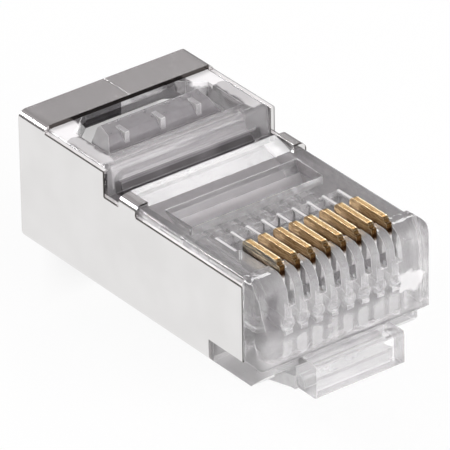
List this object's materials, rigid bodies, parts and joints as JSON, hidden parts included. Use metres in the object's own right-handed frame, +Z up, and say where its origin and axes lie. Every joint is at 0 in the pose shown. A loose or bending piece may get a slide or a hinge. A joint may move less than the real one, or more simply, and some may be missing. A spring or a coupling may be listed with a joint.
{
  "type": "rj45 modular plug",
  "caption": "Shielded modular plug before crimping: clear housing with a comb of gilt blade contacts, a folded plated shield, a strain relief bar and a spring latch.",
  "frame": {"origin": "middle of the nose's lower front edge, level with the underside of the shield's floor", "axes": "+X across the plug, +Y from the nose towards the cable, +Z up to the contact side"},
  "size_m": [0.0116, 0.0226, 0.0117],
  "materials": {
    "clear_polycarbonate": "clear moulded polycarbonate, polished outside, frosted lines at the mould edges",
    "plated_sheet": "bright plated sheet with a fine rolled grain",
    "gilt_contact": "thin gold plating over a stamped blade"
  },
  "bodies": {
    "plug": {"housing": "clear_polycarbonate", "shield": "plated_sheet"},
    "latch": {"latch": "clear_polycarbonate"},
    "strain_relief_bar": {"strain_relief_bar": "clear_polycarbonate"},
    "contact_1": {"contact_1": "gilt_contact"},
    "contact_2": {"contact_2": "gilt_contact"},
    "contact_3": {"contact_3": "gilt_contact"},
    "contact_4": {"contact_4": "gilt_contact"},
    "contact_5": {"contact_5": "gilt_contact"},
    "contact_6": {"contact_6": "gilt_contact"},
    "contact_7": {"contact_7": "gilt_contact"},
    "contact_8": {"contact_8": "gilt_contact"}
  },
  "joints": [
    {"name": "latch_flex", "type": "hinge", "parent": "plug", "child": "latch", "pos_m": [0, 0.00072, -0.00047], "axis": [1, 0, 0], "range_deg": [0, 8], "stiffness_Nm_per_rad": 0.02},
    {"name": "strain_relief_hinge", "type": "hinge", "parent": "plug", "child": "strain_relief_bar", "pos_m": [0, 0.01595, 0.00692], "axis": [-1, 0, 0], "range_deg": [0, 40]},
    {"name": "contact_1_crimp", "type": "slide", "parent": "plug", "child": "contact_1", "axis": [0, 0, -1], "range_m": [0, 0.00106]},
    {"name": "contact_2_crimp", "type": "slide", "parent": "plug", "child": "contact_2", "axis": [0, 0, -1], "range_m": [0, 0.00106]},
    {"name": "contact_3_crimp", "type": "slide", "parent": "plug", "child": "contact_3", "axis": [0, 0, -1], "range_m": [0, 0.00106]},
    {"name": "contact_4_crimp", "type": "slide", "parent": "plug", "child": "contact_4", "axis": [0, 0, -1], "range_m": [0, 0.00106]},
    {"name": "contact_5_crimp", "type": "slide", "parent": "plug", "child": "contact_5", "axis": [0, 0, -1], "range_m": [0, 0.00106]},
    {"name": "contact_6_crimp", "type": "slide", "parent": "plug", "child": "contact_6", "axis": [0, 0, -1], "range_m": [0, 0.00106]},
    {"name": "contact_7_crimp", "type": "slide", "parent": "plug", "child": "contact_7", "axis": [0, 0, -1], "range_m": [0, 0.00106]},
    {"name": "contact_8_crimp", "type": "slide", "parent": "plug", "child": "contact_8", "axis": [0, 0, -1], "range_m": [0, 0.00106]}
  ]
}
